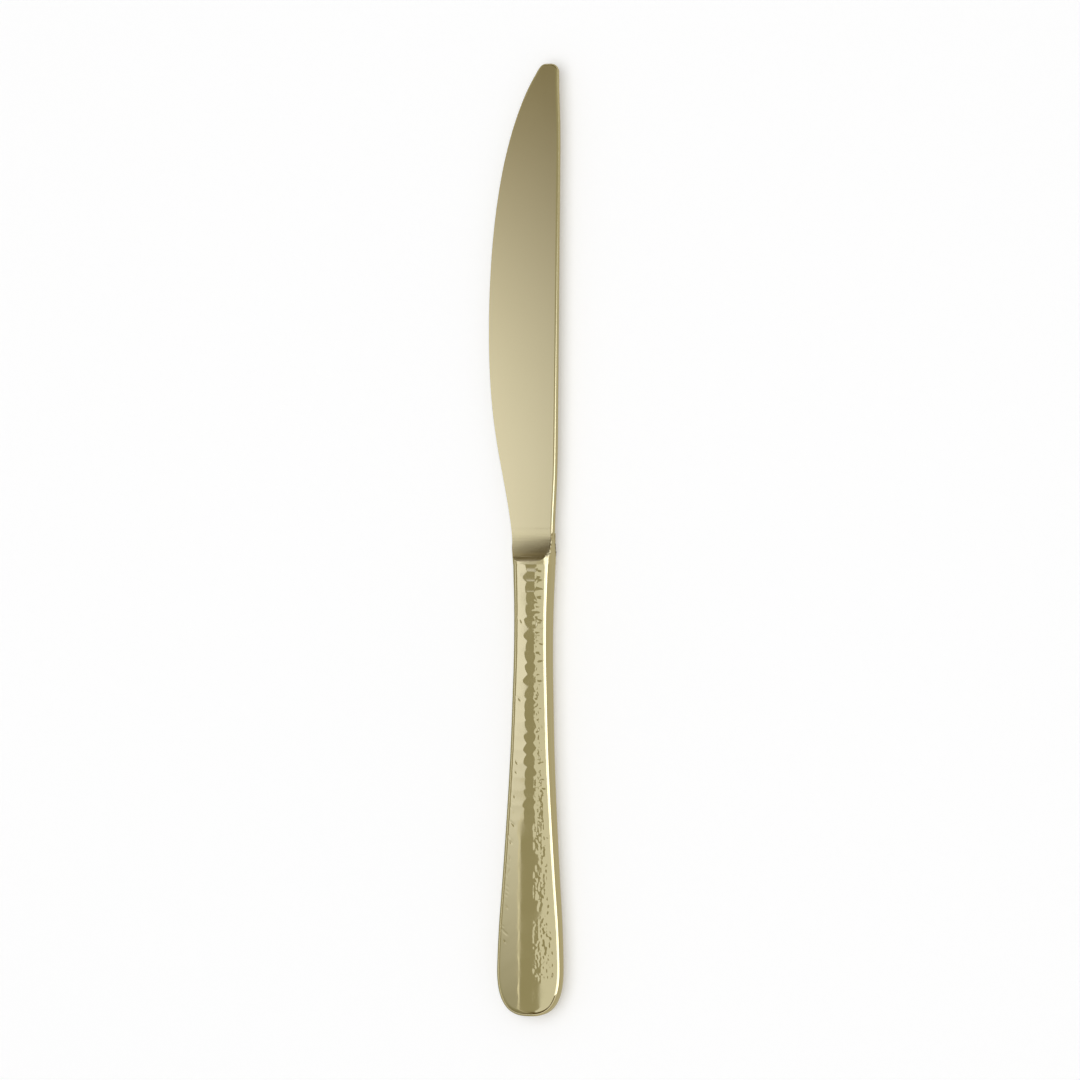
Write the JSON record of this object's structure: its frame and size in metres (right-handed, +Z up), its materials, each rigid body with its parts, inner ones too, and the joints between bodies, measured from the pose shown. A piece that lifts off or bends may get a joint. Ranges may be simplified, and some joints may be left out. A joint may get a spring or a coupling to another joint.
{
  "type": "table knife",
  "caption": "Table knife with a smooth satin blade, a blunt rounded tip and a hollow hammered handle, gold coloured all over.",
  "frame": {"origin": "middle of the knife's box, on the surface that the knife lies on", "axes": "+Y along the knife towards the tip, +X towards the spine, +Z up through the flank"},
  "size_m": [0.0213, 0.235, 0.0076],
  "materials": {
    "blade_steel": "satin",
    "handle_steel": "polished",
    "cement": "matte"
  },
  "bodies": {
    "root": {"blade": "blade_steel", "handle_front_shell": "handle_steel", "handle_back_shell": "handle_steel", "seam_weld": "handle_steel", "handle_filler": "cement"}
  },
  "joints": []
}
